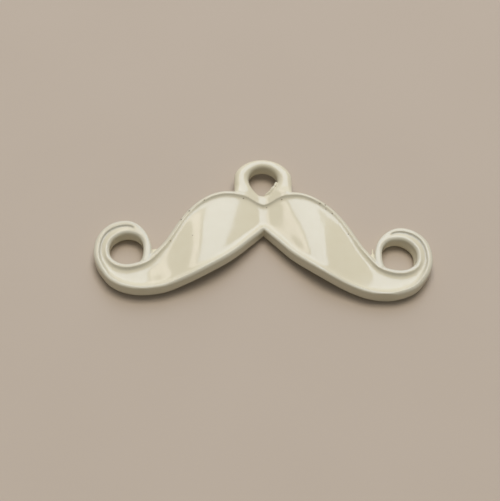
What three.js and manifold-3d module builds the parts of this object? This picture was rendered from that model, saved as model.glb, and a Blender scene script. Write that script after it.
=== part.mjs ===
// A moustache charm: one die-cast, painted piece lying on its back.
// Millimetres. +X runs along the moustache, +Y points to the hanging eye, +Z is up from the back.
import * as THREE from "three";
import { mergeVertices } from "three/addons/utils/BufferGeometryUtils.js";
import Module from "manifold-3d";

const wasm = await Module();
wasm.setup();

// Sizes of the casting's section.
const THICKNESS = 1.9;
const EDGE_ROUND = 0.35;
const FOOT_ROUND = 0.12;
const RIM_SLOPE = 0.14;
const TIP_SPREAD = 0.45;

// Steps of the facets.
const EDGE_STEPS = 3;
const FIELD_STEPS = 6;
const STATION_STEPS = 5;

// The wave of the wings, as heights of the back above the table: a hump in each wing, a rounded
// valley in the middle and flat curls.
const HUMP_LIFT = 0.72;
const HUMP_AT = 5.5;
const VALLEY_HALF_WIDTH = 0.8;
const CURL_FLAT_FROM = 14.5;
const EYE_LIFT = 0.35;
const EYE_LEVEL_FROM = 8.2;
const EYE_LEVEL_TO = 9.6;

// Hanging eye.
const EYE_HALF_WIDTH = 3.55;
const EYE_TOP = 14.05;
const EYE_ROOT = 6.95;
const EYE_ROOT_RISE = 1.0;
const EYE_CORNER = 2.85;
const EYE_SIDE_PULL = 0.51;
const EYE_TOP_PULL = 0.56;
const EYE_ROUND = 0.5;
const EYE_HOLE_RADIUS = 1.75;
const EYE_HOLE_CENTRE = 10.7;
const EYE_HOLE_POINT = 8.3;
const EYE_BEVEL_STEPS = 3;
const EYE_CURVE_STEPS = 10;

const IVORY = 0xddd8c6;

// Sections of the right wing, from the middle out round the curl to its tip. Each edge has x, y and its
// heading in degrees. Rims are widths in from the edge; recess is the depth of the field below the rim
// at that edge; crown is how far the field swells between the two.
const WING = [
  { low: [0, 3.05, -46], top: [0, 8.3, 4], rim: 0.5, lip: 1.7, recess: 0.36, lipRecess: 0.36, crown: 0.02 },
  { low: [1.3, 1.74, -46], top: [1.8, 8.46, 5], rim: 0.5, lip: 1.08, recess: 0.34, lipRecess: 0.34, crown: 0.08 },
  { low: [2.9, 0.08, -45], top: [3.6, 8.6, 2], rim: 0.5, lip: 0.52, recess: 0.32, lipRecess: 0.32, crown: 0.15 },
  { low: [5.6, -2.17, -35], top: [6.7, 7.82, -29], rim: 0.5, lip: 0.52, recess: 0.3, lipRecess: 0.3, crown: 0.2 },
  { low: [8.6, -3.98, -27], top: [9.6, 5.12, -54], rim: 0.5, lip: 0.52, recess: 0.3, lipRecess: 0.3, crown: 0.16 },
  { low: [11.2, -5.15, -20], top: [11.7, 1.5, -61], rim: 0.5, lip: 0.52, recess: 0.32, lipRecess: 0.34, crown: 0.1 },
  { low: [13.4, -5.66, -7], top: [13.4, -0.87, -51], rim: 0.5, lip: 0.52, recess: 0.32, lipRecess: 0.4, crown: 0.03 },
  { low: [15.8, -5.5, 14], top: [15.7, -2.06, -12], rim: 0.5, lip: 0.5, recess: 0.32, lipRecess: 0.42, crown: 0 },
  { low: [18.4, -3.93, 52], top: [17.6, -1.5, 45], rim: 0.5, lip: 0.46, recess: 0.34, lipRecess: 0.4, crown: 0 },
  { low: [20, -0.45, 88], top: [18.25, 0.05, 91], rim: 0.48, lip: 0.4, recess: 0.34, lipRecess: 0.2, crown: 0 },
  { low: [18.95, 2.86, 135], top: [17.65, 1.52, 136], rim: 0.46, lip: 0.34, recess: 0.34, lipRecess: 0.08, crown: 0 },
  { low: [16.4, 3.94, 181], top: [16.15, 2.17, 181], rim: 0.46, lip: 0.34, recess: 0.32, lipRecess: 0.03, crown: 0 },
  { low: [14.35, 2.76, 232], top: [14.8, 1.6, 226], rim: 0.44, lip: 0.34, recess: 0, lipRecess: 0, crown: 0.04 },
  { low: [13.1, 0.2, 257], top: [14.1, 0.05, 268], rim: 0.34, lip: 0.34, recess: 0, lipRecess: 0, crown: 0.03 },
  { low: [13, -1.05, 269], top: [13.95, -1.45, 280], rim: 0.34, lip: 0.34, recess: 0, lipRecess: 0, crown: 0.03 },
];
const CURL_END_ROW = 13;
const TIP_FROM_ROW = 12.6;
const TIP_INSET = 0.95;

const radians = THREE.MathUtils.degToRad;

// A smooth curve between two edge points that leaves and arrives along their headings.
function edgeCurve(from, to) {
  const start = new THREE.Vector2(from[0], from[1]);
  const end = new THREE.Vector2(to[0], to[1]);
  const turn = Math.abs(radians(to[2] - from[2]));
  const chord = start.distanceTo(end);
  const reach = turn < 1e-3 ? chord / 3 : (chord * 2 * Math.tan(turn / 4)) / (3 * Math.sin(turn / 2));
  const along = (heading, length) =>
    new THREE.Vector2(Math.cos(radians(heading)) * length, Math.sin(radians(heading)) * length);
  return new THREE.CubicBezierCurve(
    start,
    start.clone().add(along(from[2], reach)),
    end.clone().sub(along(to[2], reach)),
    end,
  );
}

// The value of one column of the wing table between its rows, without kinks at the rows.
function column(name, place) {
  const points = WING.map((row, i) => new THREE.Vector2(i, row[name]));
  return new THREE.SplineCurve(points).getPoint(place / (WING.length - 1)).y;
}

// One closed section of the wing, as a ring of points from the low edge over the top and back.
function wingSection(place) {
  const row = Math.min(Math.floor(place), WING.length - 2);
  const within = place - row;
  const lowCurve = edgeCurve(WING[row].low, WING[row + 1].low);
  const topCurve = edgeCurve(WING[row].top, WING[row + 1].top);
  const low = lowCurve.getPoint(within);
  const top = topCurve.getPoint(within);
  const across = top.clone().sub(low);
  const width = across.length();
  across.normalize();
  const slant = (curve) => 1 / Math.max(0.5, Math.abs(across.cross(curve.getTangent(within))));
  const lowSlant = slant(lowCurve);
  const topSlant = slant(topCurve);
  const profile = [];
  const side = (rim, recess, stretch) => {
    const round = Math.min(EDGE_ROUND, TIP_SPREAD * width);
    const crest = Math.min(rim, TIP_SPREAD * width);
    const points = [
      [FOOT_ROUND, 0],
      [0, FOOT_ROUND],
      [0, THICKNESS - round],
    ];
    for (let i = 1; i <= EDGE_STEPS; i += 1) {
      const angle = (i / EDGE_STEPS) * (Math.PI / 2);
      points.push([round * (1 - Math.cos(angle)), THICKNESS - round + round * Math.sin(angle)]);
    }
    points.push([Math.max(crest, round + 0.02), THICKNESS - 0.05 * recess]);
    points.push([Math.max(crest, round + 0.02) + RIM_SLOPE * (recess > 0.01 ? 1 : 0.3), THICKNESS - recess]);
    const fit = Math.min(stretch, (TIP_SPREAD * width) / points.at(-1)[0]);
    return points.map(([s, z]) => [s * fit, z]);
  };
  const lowSide = side(column("rim", place), Math.max(0, column("recess", place)), lowSlant);
  const topSide = side(column("lip", place), Math.max(0, column("lipRecess", place)), topSlant);
  const crown = Math.max(0, column("crown", place));
  profile.push(...lowSide);
  const [s0, z0] = lowSide.at(-1);
  const [s1, z1] = [width - topSide.at(-1)[0], topSide.at(-1)[1]];
  for (let i = 1; i < FIELD_STEPS; i += 1) {
    const v = i / FIELD_STEPS;
    profile.push([s0 + (s1 - s0) * v, z0 + (z1 - z0) * v + crown * 4 * v * (1 - v)]);
  }
  for (const [s, z] of topSide.reverse()) {
    profile.push([width - s, z]);
  }
  return profile.map(([s, z]) => new THREE.Vector3(low.x + across.x * s, low.y + across.y * s, z));
}

// A closed skin over a row of sections that all have the same number of points.
function loft(sections) {
  const count = sections[0].length;
  const positions = sections.flat().flatMap((p) => [p.x, p.y, p.z]);
  const index = [];
  for (let i = 0; i + 1 < sections.length; i += 1) {
    for (let j = 0; j < count; j += 1) {
      const a = i * count + j;
      const b = i * count + ((j + 1) % count);
      index.push(a, a + count, b, b, a + count, b + count);
    }
  }
  for (const [i, last] of [[0, false], [sections.length - 1, true]]) {
    const middle = sections[i].reduce((sum, p) => sum.add(p), new THREE.Vector3()).divideScalar(count);
    const hub = positions.length / 3;
    positions.push(middle.x, middle.y, middle.z);
    for (let j = 0; j < count; j += 1) {
      const a = i * count + j;
      const b = i * count + ((j + 1) % count);
      index.push(...(last ? [hub, b, a] : [hub, a, b]));
    }
  }
  const geometry = new THREE.BufferGeometry();
  geometry.setAttribute("position", new THREE.Float32BufferAttribute(positions, 3));
  geometry.setIndex(index);
  return geometry;
}

// The signed volume of a closed skin: negative where its faces turn inward.
function signedVolume(positions, index) {
  let volume = 0;
  for (let i = 0; i < index.length; i += 3) {
    const [a, b, c] = [0, 1, 2].map((k) => new THREE.Vector3().fromArray(positions, index[i + k] * 3));
    volume += a.dot(b.cross(c)) / 6;
  }
  return volume;
}

// A solid for adding and subtracting, made from a three.js geometry.
function solid(geometry) {
  const bare = geometry.clone();
  bare.deleteAttribute("normal");
  bare.deleteAttribute("uv");
  const welded = bare.index ? bare : mergeVertices(bare, 1e-4);
  const positions = welded.attributes.position.array;
  const triangles = Uint32Array.from(welded.index.array);
  if (signedVolume(positions, triangles) < 0) {
    triangles.reverse();
  }
  const mesh = new wasm.Mesh({
    numProp: 3,
    vertProperties: Float32Array.from(positions),
    triVerts: triangles,
  });
  return new wasm.Manifold(mesh);
}

function mirrored(points) {
  return points.map((p) => new THREE.Vector3(-p.x, p.y, p.z));
}

function sectionsBetween(fromRow, toRow) {
  const steps = Math.round((toRow - fromRow) * STATION_STEPS);
  return Array.from({ length: steps + 1 }, (_, i) => wingSection(fromRow + i / STATION_STEPS));
}

// Both wings as one skin, from the end of the left curl through the middle to the end of the right one.
function wings() {
  const right = sectionsBetween(0, CURL_END_ROW);
  const left = right.slice(1).reverse().map(mirrored);
  return loft([...left, ...right]);
}

// The root that joins the curl's tip to the wing's edge, a little inside the curl so no faces coincide.
function tipRoot(flip) {
  const sections = sectionsBetween(TIP_FROM_ROW, WING.length - 1).map((ring) => {
    const middle = ring.reduce((sum, p) => sum.add(p), new THREE.Vector3()).divideScalar(ring.length);
    return ring.map((p) => p.clone().sub(middle).multiplyScalar(TIP_INSET).add(middle));
  });
  return loft(flip ? sections.map(mirrored) : sections);
}

// The hanging eye: a flat-topped loop with a pear-shaped hole, its root inside the wings.
function hangingEye() {
  const shape = new THREE.Shape();
  shape.moveTo(0, EYE_ROOT);
  shape.lineTo(EYE_HALF_WIDTH, EYE_ROOT + EYE_ROOT_RISE);
  shape.lineTo(EYE_HALF_WIDTH, EYE_TOP - EYE_CORNER);
  shape.bezierCurveTo(
    EYE_HALF_WIDTH, EYE_TOP - EYE_CORNER * EYE_SIDE_PULL,
    EYE_HALF_WIDTH * EYE_TOP_PULL, EYE_TOP,
    0, EYE_TOP,
  );
  shape.bezierCurveTo(
    -EYE_HALF_WIDTH * EYE_TOP_PULL, EYE_TOP,
    -EYE_HALF_WIDTH, EYE_TOP - EYE_CORNER * EYE_SIDE_PULL,
    -EYE_HALF_WIDTH, EYE_TOP - EYE_CORNER,
  );
  shape.lineTo(-EYE_HALF_WIDTH, EYE_ROOT + EYE_ROOT_RISE);
  shape.closePath();
  const hole = new THREE.Path();
  hole.moveTo(0, EYE_HOLE_POINT);
  hole.bezierCurveTo(
    0.9, EYE_HOLE_POINT + 0.2,
    EYE_HOLE_RADIUS, EYE_HOLE_CENTRE - 1.0,
    EYE_HOLE_RADIUS, EYE_HOLE_CENTRE,
  );
  hole.absarc(0, EYE_HOLE_CENTRE, EYE_HOLE_RADIUS, 0, Math.PI, false);
  hole.bezierCurveTo(
    -EYE_HOLE_RADIUS, EYE_HOLE_CENTRE - 1.0,
    -0.9, EYE_HOLE_POINT + 0.2,
    0, EYE_HOLE_POINT,
  );
  shape.holes.push(hole);
  const geometry = new THREE.ExtrudeGeometry(shape, {
    depth: THICKNESS - 2 * EYE_ROUND,
    bevelEnabled: true,
    bevelSize: EYE_ROUND,
    bevelThickness: EYE_ROUND,
    bevelOffset: -EYE_ROUND,
    bevelSegments: EYE_BEVEL_STEPS,
    curveSegments: EYE_CURVE_STEPS,
    steps: 1,
  });
  return geometry.translate(0, 0, EYE_ROUND);
}

// Height of the casting's back above the table: low in the middle, high in each wing, flat at the curls.
// Past the hump it falls as a cosine; before it the bend of the crest goes on into the valley.
function lift(x, y) {
  const out = Math.abs(x);
  const fall = CURL_FLAT_FROM - HUMP_AT;
  if (out >= HUMP_AT) {
    return HUMP_LIFT * 0.5 * (1 + Math.cos(Math.PI * Math.min(1, (out - HUMP_AT) / fall)));
  }
  const bend = HUMP_LIFT * 0.5 * (Math.PI / fall) ** 2;
  const back = HUMP_AT - Math.max(out, VALLEY_HALF_WIDTH);
  let wave = HUMP_LIFT - 0.5 * bend * back ** 2;
  if (out < VALLEY_HALF_WIDTH) {
    wave -= (bend * back * (VALLEY_HALF_WIDTH ** 2 - out ** 2)) / (2 * VALLEY_HALF_WIDTH);
  }
  return wave + (EYE_LIFT - wave) * THREE.MathUtils.smoothstep(y, EYE_LEVEL_FROM, EYE_LEVEL_TO);
}

function casting() {
  let body = solid(wings());
  for (const piece of [tipRoot(false), tipRoot(true), hangingEye()]) {
    body = body.add(solid(piece));
  }
  const mesh = body.getMesh();
  const geometry = new THREE.BufferGeometry();
  const points = Float32Array.from(mesh.vertProperties);
  for (let i = 0; i < points.length; i += 3) {
    points[i + 2] += lift(points[i], points[i + 1]);
  }
  geometry.setAttribute("position", new THREE.BufferAttribute(points, 3));
  geometry.setIndex(Array.from(mesh.triVerts));
  geometry.computeBoundingBox();
  const { min, max } = geometry.boundingBox;
  geometry.translate(-(min.x + max.x) / 2, -(min.y + max.y) / 2, -min.z);
  geometry.computeVertexNormals();
  return geometry;
}

const part = new THREE.Group();
part.name = "moustache_charm";
const paint = new THREE.MeshStandardMaterial({ color: IVORY, roughness: 0.22, metalness: 0 });
const body = new THREE.Mesh(casting(), paint);
body.name = "moustache_casting";
part.add(body);

export default part;
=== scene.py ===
"""The looks of a moustache charm: one die-cast, ivory-painted piece lying on its back.

The shapes are drawn in millimetres on a plan of the charm and are turned into metres of the frame
only when a mesh is made.
"""

import logging
import math
from dataclasses import dataclass, field
from enum import Enum

import bpy
import numpy as np
from mathutils import Matrix, Vector


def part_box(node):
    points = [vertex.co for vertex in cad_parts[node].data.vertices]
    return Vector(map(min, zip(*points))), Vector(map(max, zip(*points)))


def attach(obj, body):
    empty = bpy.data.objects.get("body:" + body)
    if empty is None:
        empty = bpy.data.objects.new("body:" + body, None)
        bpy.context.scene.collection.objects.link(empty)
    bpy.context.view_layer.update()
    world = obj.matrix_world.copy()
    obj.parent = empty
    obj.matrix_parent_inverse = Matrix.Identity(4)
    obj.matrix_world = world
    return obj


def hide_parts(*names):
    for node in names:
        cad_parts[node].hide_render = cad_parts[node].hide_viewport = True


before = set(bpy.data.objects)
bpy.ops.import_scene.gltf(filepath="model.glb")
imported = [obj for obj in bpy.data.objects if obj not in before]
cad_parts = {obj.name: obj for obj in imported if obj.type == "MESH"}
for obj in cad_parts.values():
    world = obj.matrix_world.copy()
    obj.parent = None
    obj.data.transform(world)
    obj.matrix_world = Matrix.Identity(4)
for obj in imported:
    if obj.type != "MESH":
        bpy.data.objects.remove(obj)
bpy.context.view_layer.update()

CASTING_NODE = "moustache_casting"
BODY = "root"

MM = 0.001

# Field value far from any metal.
OUTSIDE = -1000.0

# Spots that are measured at a time.
CHUNK = 4000

# Smallest values that are still divided by.
LEAST_WIDTH = 1e-3
LEAST_LENGTH = 1e-9
LEAST_TURN = 1e-3

# How often the grid is looked over for corners to fill, and the field value that fills them.
UNTANGLE_ROUNDS = 3
TOUCH = 1e-4

# Places of the number sockets of a random value node and of the colour sockets of a mix node.
RANDOM_MAX = 3
RANDOM_NUMBER = 1
MIX_COLOURS = (6, 7)
MIX_RESULT = 2

# Detail of the broad and of the fine noise.
MOTTLE_DETAIL = {"Broad": 1.5, "Fine": 3.0}

LOG = logging.getLogger("moustache_charm")

Span = tuple[float, float]
Triple = tuple[float, float, float]


class Edge(Enum):
    """The two long edges of a wing; the value is the side of its run that the metal lies on."""

    LOW = 1.0
    TOP = -1.0


class Side(Enum):
    """Which half of the charm a speck lies on, as the sign of its x."""

    LEFT = -1.0
    RIGHT = 1.0


@dataclass(frozen=True)
class EdgePoint:
    """One drawn point of an edge: its place in millimetres and its heading in degrees."""

    x: float
    y: float
    heading: float


@dataclass(frozen=True)
class WingRow:
    """One drawn section of the right wing.

    Low and top are its points on the two edges, each an x, a y and a heading. The rim and the lip
    are the crests' distances in from the low and the top edge, and the falls are the lengths over
    which their walls sink into the field. The recesses are depths of the field below the crests at
    each edge, and the crown is how far the field swells between them. A crisp of one starts a wall
    at a corner, a larger one at a curve. The two shade shares say how much painted shade, with a
    little dirt, darkens the groove at the foot of each wall, and the lip's round is the rounding of
    the top edge.
    """

    low: Triple
    top: Triple
    recess: float
    lip_recess: float
    crown: float = 0.0
    rim: float = 0.32
    fall: float = 0.4
    crisp: float = 1.5
    shade_and_soil: float = 0.08
    lip_shade_and_soil: float = 0.38
    lip: float = 0.6
    lip_fall: float = 0.28
    lip_crisp: float = 1.1
    lip_round: float = 0.5


WING_ROWS = (
    WingRow((0, 3.05, -46), (0, 8.3, 4), 0.36, 0.36, 0.02, lip=1.88, lip_fall=0.42, lip_crisp=1.15),
    WingRow((1.25, 1.7, -46), (1.8, 8.4, 5), 0.34, 0.34, 0.08, lip=0.8, lip_fall=0.34),
    WingRow((2.83, 0.01, -45), (3.6, 8.5, 2), 0.32, 0.32, 0.14),
    WingRow((5.54, -2.25, -35), (6.65, 7.73, -29), 0.3, 0.27, 0.17, lip=0.56, lip_shade_and_soil=0.65),
    WingRow(
        (8.55, -4.07, -27), (9.52, 5.06, -54), 0.34, 0.17, 0.15,
        lip=0.5, lip_crisp=1.2, lip_shade_and_soil=0.5,
    ),
    WingRow(
        (11.17, -5.23, -20), (11.61, 1.45, -61), 0.42, 0.27, 0.1,
        lip=0.54, lip_fall=0.22, lip_shade_and_soil=0.08,
    ),
    WingRow(
        (13.4, -5.68, -7), (13.35, -0.91, -51), 0.36, 0.38, 0.03,
        lip_fall=0.25, lip_shade_and_soil=0.2, lip_round=0.34,
    ),
    WingRow(
        (15.82, -5.54, 14), (15.67, -2.2, -12), 0.28, 0.42,
        lip=0.56, lip_fall=0.34, lip_shade_and_soil=0.6, lip_round=0.3,
    ),
    WingRow(
        (18.43, -3.96, 52), (17.64, -1.56, 45), 0.28, 0.36,
        rim=0.4, fall=0.32, shade_and_soil=0.4, lip=0.54, lip_fall=0.3, lip_round=0.34,
    ),
    WingRow(
        (20, -0.45, 88), (18.14, 0.05, 91), 0.34, 0.14, 0.08,
        rim=0.64, fall=0.26, crisp=1.05, shade_and_soil=0.85, lip=0.46, lip_round=0.42,
    ),
    WingRow(
        (18.95, 2.86, 135), (17.57, 1.43, 136), 0.38, 0.06, 0.09,
        rim=0.66, fall=0.29, crisp=1.05, shade_and_soil=1.0, lip=0.4, lip_round=0.38,
    ),
    WingRow(
        (16.4, 3.94, 181), (16.13, 2.08, 181), 0.38, 0.02, 0.09,
        rim=0.66, fall=0.29, crisp=1.05, shade_and_soil=1.0, lip=0.4, lip_round=0.38,
    ),
    WingRow(
        (14.35, 2.76, 232), (14.8, 1.56, 226), 0.3, 0.0, 0.07,
        rim=0.54, fall=0.2, crisp=1.05, shade_and_soil=0.8, lip=0.4, lip_round=0.4,
    ),
    WingRow((13.25, 0.25, 259), (14.22, 0.05, 267), 0.0, 0.0, rim=0.34, lip=0.34),
    WingRow((13.4, -1.95, 285), (14.72, -2.5, 300), 0.0, 0.0, rim=0.34, lip=0.34),
)


def smooth_step(value: np.ndarray, low: float, high: float) -> np.ndarray:
    """Eased step from 0 at the low value to 1 at the high one."""
    share = np.clip((value - low) / (high - low), 0, 1)
    return share * share * (3 - 2 * share)


def between(value: np.ndarray, rises: Span, fades: Span) -> np.ndarray:
    """Eased hill of height 1 that rises over one span and fades over another."""
    return smooth_step(value, *rises) * (1 - smooth_step(value, *fades))


def bell(value: np.ndarray, middle: float, reach: float) -> np.ndarray:
    """Rounded bump of height 1 at its middle."""
    return np.exp(-(((value - middle) / reach) ** 2))


def blend(first: np.ndarray | float, second: np.ndarray | float, share: np.ndarray) -> np.ndarray:
    """Goes from the first value to the second as the share goes from 0 to 1."""
    return first + (second - first) * share


def smooth_max(first: np.ndarray, second: np.ndarray, fillet: float) -> np.ndarray:
    """The larger of two fields, with a fillet where they are nearly equal."""
    near = np.clip(fillet - np.abs(first - second), 0, None) / fillet
    return np.maximum(first, second) + near * near * fillet / 4


def bezier(corners: list[Span], steps: int) -> np.ndarray:
    """Points along a cubic curve.

    Args:
        corners: The curve's two ends and the two handles between them.
        steps: How many steps the curve is cut into.

    Returns:
        The points, one row each, both ends included.
    """
    a, b, c, d = (np.array(corner, float) for corner in corners)
    t = np.linspace(0, 1, steps + 1)[:, None]
    s = 1 - t
    return a * s**3 + 3 * b * s * s * t + 3 * c * s * t * t + d * t**3


@dataclass
class EdgeReading:
    """How a set of spots lies to an edge.

    The fields are the distance into the metal, the row place, the length past the edge's end, and
    the distance once more, softened well inside the metal so that no crease runs in from a bend.
    """

    distance: np.ndarray
    place: np.ndarray
    past: np.ndarray
    reach: np.ndarray


@dataclass
class EdgeLine:
    """A finely drawn edge that can say how far spots lie from it."""

    points: np.ndarray
    places: np.ndarray
    metal_side: float
    soft_from: Span = (0.5, 2.0)
    soft_to_place: Span = (4.5, 6.0)
    soft_stride: int = 4

    def __post_init__(self) -> None:
        """Works out the line's headings and how fast the row place grows along it."""
        run = np.gradient(self.points, axis=0)
        length = np.maximum(np.hypot(run[:, 0], run[:, 1]), LEAST_LENGTH)
        self.tangents = run / length[:, None]
        self.rates = np.gradient(self.places) / length

    def measure(self, spots: np.ndarray) -> EdgeReading:
        """Measures spots of the plan, one row each, against the line."""
        parts = [self._measure_part(spots[i : i + CHUNK]) for i in range(0, len(spots), CHUNK)]
        return EdgeReading(*(np.concatenate(column) for column in zip(*parts)))

    def _measure_part(self, spots: np.ndarray) -> tuple[np.ndarray, ...]:
        """Measures a small batch of spots.

        Args:
            spots: Places on the plan, one row each.

        Returns:
            Distance into the metal, row place, length past the line's end and softened distance.
        """
        square = (spots[:, None, 0] - self.points[None, :, 0]) ** 2
        square += (spots[:, None, 1] - self.points[None, :, 1]) ** 2
        nearest = np.argmin(square, axis=1)
        offset = spots - self.points[nearest]
        tangent = self.tangents[nearest]
        along = (offset * tangent).sum(axis=1)
        last = len(self.points) - 1
        past = np.where(nearest == last, along, OUTSIDE)
        along = np.where(nearest == 0, np.maximum(along, 0), along)
        along = np.where(nearest == last, np.minimum(along, 0), along)
        across = offset - along[:, None] * tangent
        turn = tangent[:, 0] * offset[:, 1] - tangent[:, 1] * offset[:, 0]
        distance = self.metal_side * np.sign(turn) * np.hypot(across[:, 0], across[:, 1])
        place = self.places[nearest] + along * self.rates[nearest]
        soft = smooth_step(distance, *self.soft_from)
        soft *= 1 - smooth_step(place, *self.soft_to_place)
        some = square[:, :: self.soft_stride]
        spread = np.maximum(np.abs(distance), self.soft_from[0])
        weight = np.exp((some.min(axis=1, keepdims=True) - some) / spread[:, None])
        weight /= weight.sum(axis=1, keepdims=True)
        soft_place = weight @ self.places[:: self.soft_stride]
        soft_distance = np.sqrt((weight * some).sum(axis=1))
        return distance, blend(place, soft_place, soft), past, blend(distance, soft_distance, soft)


@dataclass
class PlanReading:
    """What the plan says at each spot.

    The fields are the distance in from the outline, the top's height without its rounded edges, the
    rounding of the top and back edges, and two masks for the paint: painted sheen on the crest and
    painted shade, with a little dirt, in the groove.
    """

    inside: np.ndarray
    height: np.ndarray
    edge_round: np.ndarray
    foot_round: np.ndarray
    crest: np.ndarray
    groove: np.ndarray

    def shaped(self, *shape: int) -> "PlanReading":
        """The same reading with its spots laid out in another shape."""
        return PlanReading(*(values.reshape(shape) for values in vars(self).values()))


@dataclass
class HangingEye:
    """The loop above the middle, with its pear-shaped hole."""

    half_width: float = 3.55
    top: float = 13.96
    root: float = 6.95
    root_rise: float = 1.0
    corner: float = 2.85
    side_pull: float = 0.51
    top_pull: float = 0.56
    hole_radius: float = 1.75
    hole_centre: float = 10.7
    hole_point: float = 8.3
    hole_point_pull: Span = (0.9, 0.2)
    hole_side_pull: float = 1.0
    rim_round: float = 0.65
    hole_round: float = 0.8
    far_rim_round: float = 0.95
    far_hole_round: float = 0.5
    round_blend: float = 0.5
    foot_round: float = 0.6
    steps: int = 48

    def __post_init__(self) -> None:
        """Draws the right half of the loop and of its hole."""
        shoulder = (self.half_width, self.top - self.corner)
        arch = bezier(
            [
                shoulder,
                (self.half_width, self.top - self.corner * self.side_pull),
                (self.half_width * self.top_pull, self.top),
                (0, self.top),
            ],
            self.steps,
        )
        foot = (self.half_width, self.root + self.root_rise)
        base = np.linspace((0, self.root), foot, self.steps, endpoint=False)
        side = np.linspace(foot, shoulder, self.steps, endpoint=False)
        rim = np.concatenate([base, side, arch])
        self.rim_line = EdgeLine(rim, np.zeros(len(rim)), Edge.LOW.value)
        pull_x, pull_y = self.hole_point_pull
        flank = bezier(
            [
                (0, self.hole_point),
                (pull_x, self.hole_point + pull_y),
                (self.hole_radius, self.hole_centre - self.hole_side_pull),
                (self.hole_radius, self.hole_centre),
            ],
            self.steps,
        )
        angle = np.linspace(0, math.pi / 2, self.steps)[1:]
        over = np.stack([np.cos(angle), np.sin(angle)], axis=1) * self.hole_radius
        hole = np.concatenate([flank, over + (0, self.hole_centre)])
        self.hole_line = EdgeLine(hole, np.zeros(len(hole)), Edge.TOP.value)

    def survey(self, spots: np.ndarray) -> tuple[np.ndarray, np.ndarray]:
        """Reads the loop at spots of the right half.

        Args:
            spots: Places on the plan, one row each.

        Returns:
            The distance into the loop's metal and the rounding of its top edge, at each spot.
        """
        rim, hole = (line.measure(spots).distance for line in (self.rim_line, self.hole_line))
        near_hole = smooth_step(rim - hole, -self.round_blend, self.round_blend)
        far = smooth_step(spots[:, 1], self.hole_centre, self.hole_centre + self.hole_radius)
        rim_round = blend(self.rim_round, self.far_rim_round, far)
        hole_round = blend(self.hole_round, self.far_hole_round, far)
        return np.minimum(rim, hole), blend(rim_round, hole_round, near_hole)


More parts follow.
